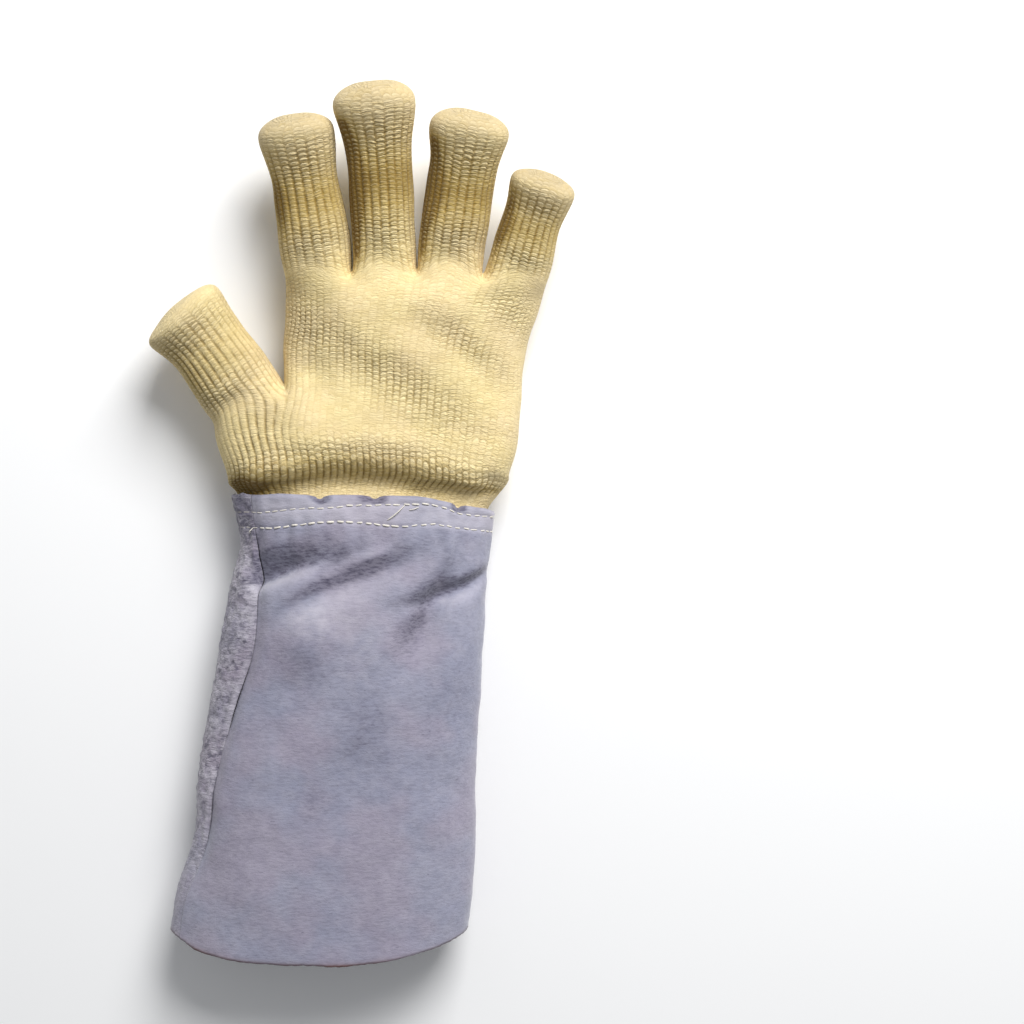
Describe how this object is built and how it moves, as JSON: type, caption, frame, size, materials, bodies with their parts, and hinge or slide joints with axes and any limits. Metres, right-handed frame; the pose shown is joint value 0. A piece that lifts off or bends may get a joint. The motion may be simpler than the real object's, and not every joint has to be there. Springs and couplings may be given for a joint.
{
  "type": "heat resistant gauntlet glove",
  "caption": "Left-hand heat resistant work glove: seamless terry-knit hand with an open wrist, sewn into a long flaring suede leather gauntlet cuff, lying palm up.",
  "frame": {"origin": "middle of the cuff's flat underside, where the glove rests", "axes": "+Y towards the fingertips, +Z out of the palm, away from the surface it rests on; the thumb is on the -X side"},
  "size_m": [0.2063, 0.4225, 0.056],
  "materials": {
    "terry_knit": "thick seamless terry knit in straw yellow, soft loops in upright columns",
    "palm_suede": "lavender grey split suede, short even nap",
    "back_suede": "lavender grey split suede, rougher nap",
    "stitching": "off-white twisted sewing thread"
  },
  "bodies": {
    "root": {"knit_hand": "terry_knit", "cuff_palm_panel": "palm_suede", "cuff_back_panel": "back_suede"}
  },
  "joints": []
}
